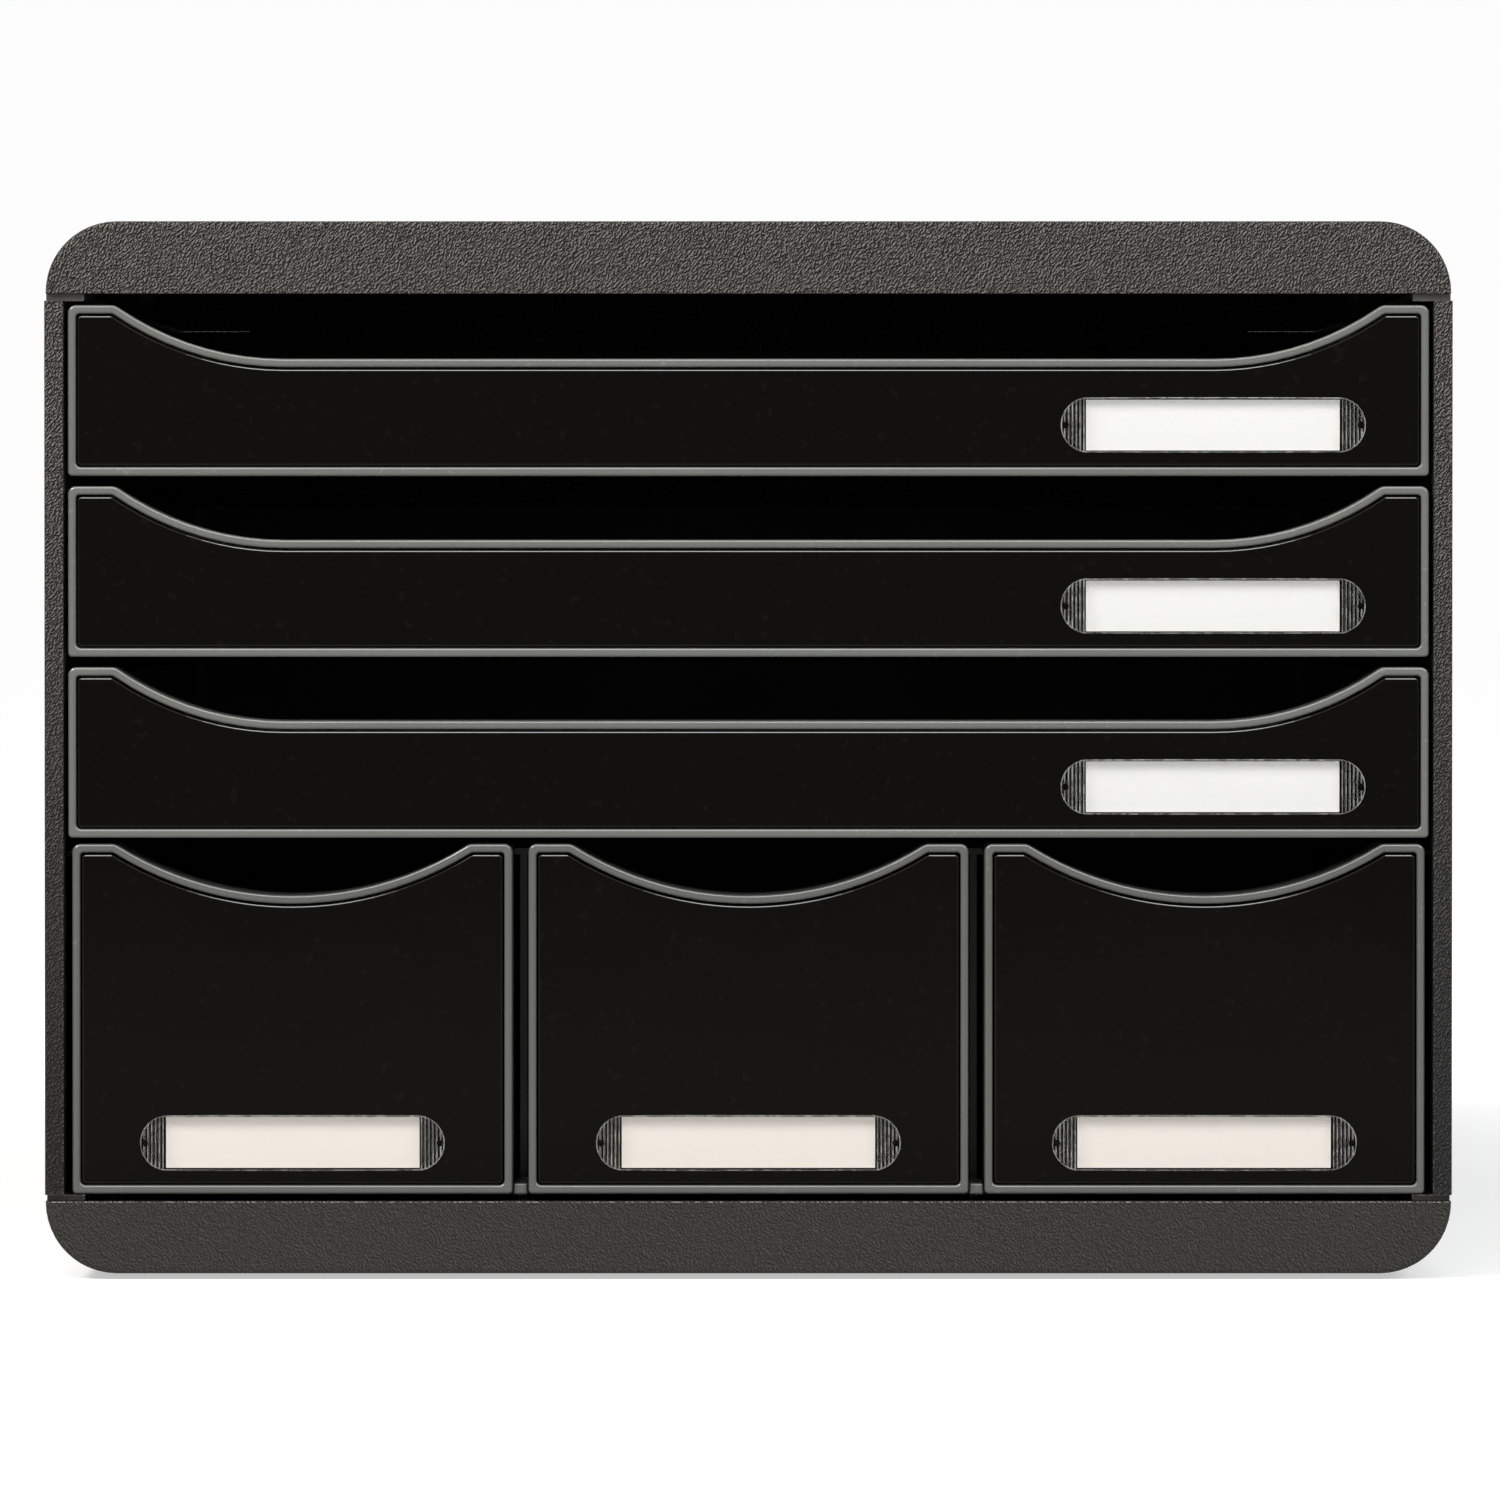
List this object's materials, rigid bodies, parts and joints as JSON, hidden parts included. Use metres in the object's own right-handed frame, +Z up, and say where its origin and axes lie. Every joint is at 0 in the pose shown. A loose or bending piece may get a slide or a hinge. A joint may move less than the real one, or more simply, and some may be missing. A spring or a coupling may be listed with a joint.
{
  "type": "desktop drawer organizer",
  "caption": "Desktop drawer organizer in a dark textured housing: wide shallow drawers above narrow deep ones, with grey framed glossy fronts, finger scoops and clear label windows.",
  "frame": {"origin": "on the surface that the feet stand on, under the middle of the housing", "axes": "+X to the right seen from the front, +Y to the back, +Z up; the drawers open towards -Y"},
  "size_m": [0.355, 0.27, 0.267],
  "materials": {
    "housing_dark": "leather-grained moulded plastic",
    "inner_black": "smooth matt moulded plastic",
    "drawer_grey": "satin moulded plastic",
    "gloss_black": "high gloss",
    "clear_window": "clear moulded plastic",
    "white_card": "plain uncoated card",
    "foot_rubber": "matt rubber"
  },
  "bodies": {
    "housing": {"top_cover": "housing_dark", "base_cover": "housing_dark", "left_side_panel": "housing_dark", "right_side_panel": "housing_dark", "back_panel": "housing_dark", "small_drawer_shelf": "drawer_grey", "left_divider": "inner_black", "right_divider": "inner_black", "rubber_feet": "foot_rubber"},
    "lower_drawer": {"lower_drawer_tray": "drawer_grey", "lower_drawer_front_panel": "gloss_black", "lower_drawer_label_window": "clear_window", "lower_drawer_label_card": "white_card"},
    "middle_drawer": {"middle_drawer_tray": "drawer_grey", "middle_drawer_front_panel": "gloss_black", "middle_drawer_label_window": "clear_window", "middle_drawer_label_card": "white_card"},
    "upper_drawer": {"upper_drawer_tray": "drawer_grey", "upper_drawer_front_panel": "gloss_black", "upper_drawer_label_window": "clear_window", "upper_drawer_label_card": "white_card"},
    "left_small_drawer": {"left_small_drawer_tray": "drawer_grey", "left_small_drawer_front_panel": "gloss_black", "left_small_drawer_label_window": "clear_window", "left_small_drawer_label_card": "white_card"},
    "centre_small_drawer": {"centre_small_drawer_tray": "drawer_grey", "centre_small_drawer_front_panel": "gloss_black", "centre_small_drawer_label_window": "clear_window", "centre_small_drawer_label_card": "white_card"},
    "right_small_drawer": {"right_small_drawer_tray": "drawer_grey", "right_small_drawer_front_panel": "gloss_black", "right_small_drawer_label_window": "clear_window", "right_small_drawer_label_card": "white_card"}
  },
  "joints": [
    {"name": "lower_drawer_slide", "type": "slide", "parent": "housing", "child": "lower_drawer", "axis": [0, -1, 0], "range_m": [0, 0.19]},
    {"name": "middle_drawer_slide", "type": "slide", "parent": "housing", "child": "middle_drawer", "axis": [0, -1, 0], "range_m": [0, 0.19]},
    {"name": "upper_drawer_slide", "type": "slide", "parent": "housing", "child": "upper_drawer", "axis": [0, -1, 0], "range_m": [0, 0.19]},
    {"name": "left_small_drawer_slide", "type": "slide", "parent": "housing", "child": "left_small_drawer", "axis": [0, -1, 0], "range_m": [0, 0.18]},
    {"name": "centre_small_drawer_slide", "type": "slide", "parent": "housing", "child": "centre_small_drawer", "axis": [0, -1, 0], "range_m": [0, 0.18]},
    {"name": "right_small_drawer_slide", "type": "slide", "parent": "housing", "child": "right_small_drawer", "axis": [0, -1, 0], "range_m": [0, 0.18]}
  ]
}
